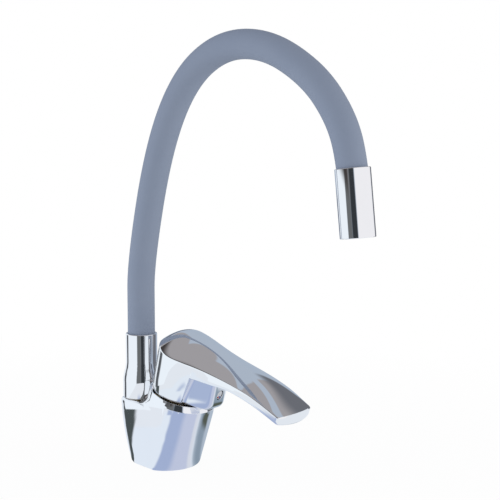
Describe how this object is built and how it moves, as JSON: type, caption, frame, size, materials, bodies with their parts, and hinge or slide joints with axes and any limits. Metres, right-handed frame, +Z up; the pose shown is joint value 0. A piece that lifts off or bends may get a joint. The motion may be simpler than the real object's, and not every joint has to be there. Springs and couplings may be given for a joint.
{
  "type": "flexible kitchen tap",
  "caption": "Single-lever kitchen mixer tap with a leaning body, a long crowned lever, and a swivelling bendable neck in a grey-blue silicone sleeve that ends in a chromed outlet.",
  "frame": {"origin": "middle of the base's underside, on the deck's surface", "axes": "+Z up, +X towards the outlet at rest, +Y to the left of the user's view of the lever; the tap is symmetric across Y = 0"},
  "size_m": [0.2319, 0.0544, 0.3394],
  "materials": {
    "body_chrome": "polished",
    "handle_chrome": "polished",
    "ferrule_chrome": "polished",
    "outlet_chrome": "polished",
    "sleeve_silicone": "matte",
    "brass": "turned",
    "steel": "bright",
    "hose_rubber": "matte",
    "seal_rubber": "matte",
    "cartridge_plastic": "moulded",
    "carrier_plastic": "moulded",
    "disc_ceramic": "lapped",
    "slide_plastic": "moulded",
    "aerator_plastic": "moulded",
    "straightener_plastic": "moulded",
    "plug_plastic": "gloss",
    "hot_red": "gloss",
    "cold_blue": "gloss"
  },
  "bodies": {
    "tap_body": {"mixer_body": "body_chrome", "base_gasket": "seal_rubber", "cartridge_base": "cartridge_plastic", "port_seals": "seal_rubber", "fixed_ceramic_disc": "disc_ceramic", "cartridge_housing": "cartridge_plastic", "cartridge_nut": "brass", "catch_screw": "steel"},
    "carrier": {"lever_carrier": "carrier_plastic", "carrier_seal": "seal_rubber", "pivot_pin": "steel"},
    "disc_slider": {"moving_ceramic_disc": "disc_ceramic", "disc_carrier": "carrier_plastic"},
    "lever": {"lever_stem": "brass", "lever_handle": "handle_chrome", "handle_screw": "steel", "indicator_plug": "plug_plastic", "hot_mark": "hot_red", "cold_mark": "cold_blue"},
    "spout": {"spout_stem": "brass", "stem_seals": "seal_rubber", "slide_ring": "slide_plastic", "spout_ferrule": "ferrule_chrome", "gooseneck_core": "steel", "water_hose": "hose_rubber", "hose_crimp_lower": "steel", "sleeve_riser": "sleeve_silicone", "sleeve_arch": "sleeve_silicone"},
    "outlet": {"sleeve_drop": "sleeve_silicone", "outlet_shell": "outlet_chrome", "outlet_adapter": "brass", "hose_crimp_upper": "steel", "aerator_housing": "aerator_plastic", "flow_straightener": "straightener_plastic", "aerator_screen": "steel", "aerator_washer": "seal_rubber"}
  },
  "joints": [
    {"name": "handle_turn", "type": "hinge", "parent": "tap_body", "child": "carrier", "pos_m": [0, 0, 0], "axis": [0.284, 0, 0.9588], "range_deg": [-45, 45]},
    {"name": "handle_lift", "type": "hinge", "parent": "carrier", "child": "lever", "pos_m": [0.01875, 0, 0.06328], "axis": [0, -1, 0], "range_deg": [0, 18]},
    {"name": "disc_slide", "type": "slide", "parent": "carrier", "child": "disc_slider", "axis": [0.9588, 0, -0.284], "range_m": [0, 0.0069]},
    {"name": "spout_swivel", "type": "hinge", "parent": "tap_body", "child": "spout", "pos_m": [-0.0248, 0, 0], "axis": [0, 0, 1], "continuous": true},
    {"name": "spout_bend", "type": "hinge", "parent": "spout", "child": "outlet", "pos_m": [0.079, 0, 0.3283], "axis": [0, 1, 0], "range_deg": [-20, 20], "deforming": ["sleeve_arch", "gooseneck_core", "water_hose"]}
  ],
  "couplings": [
    {"joint": "disc_slide", "follows": "handle_lift", "m_per_rad": 0.02184}
  ]
}
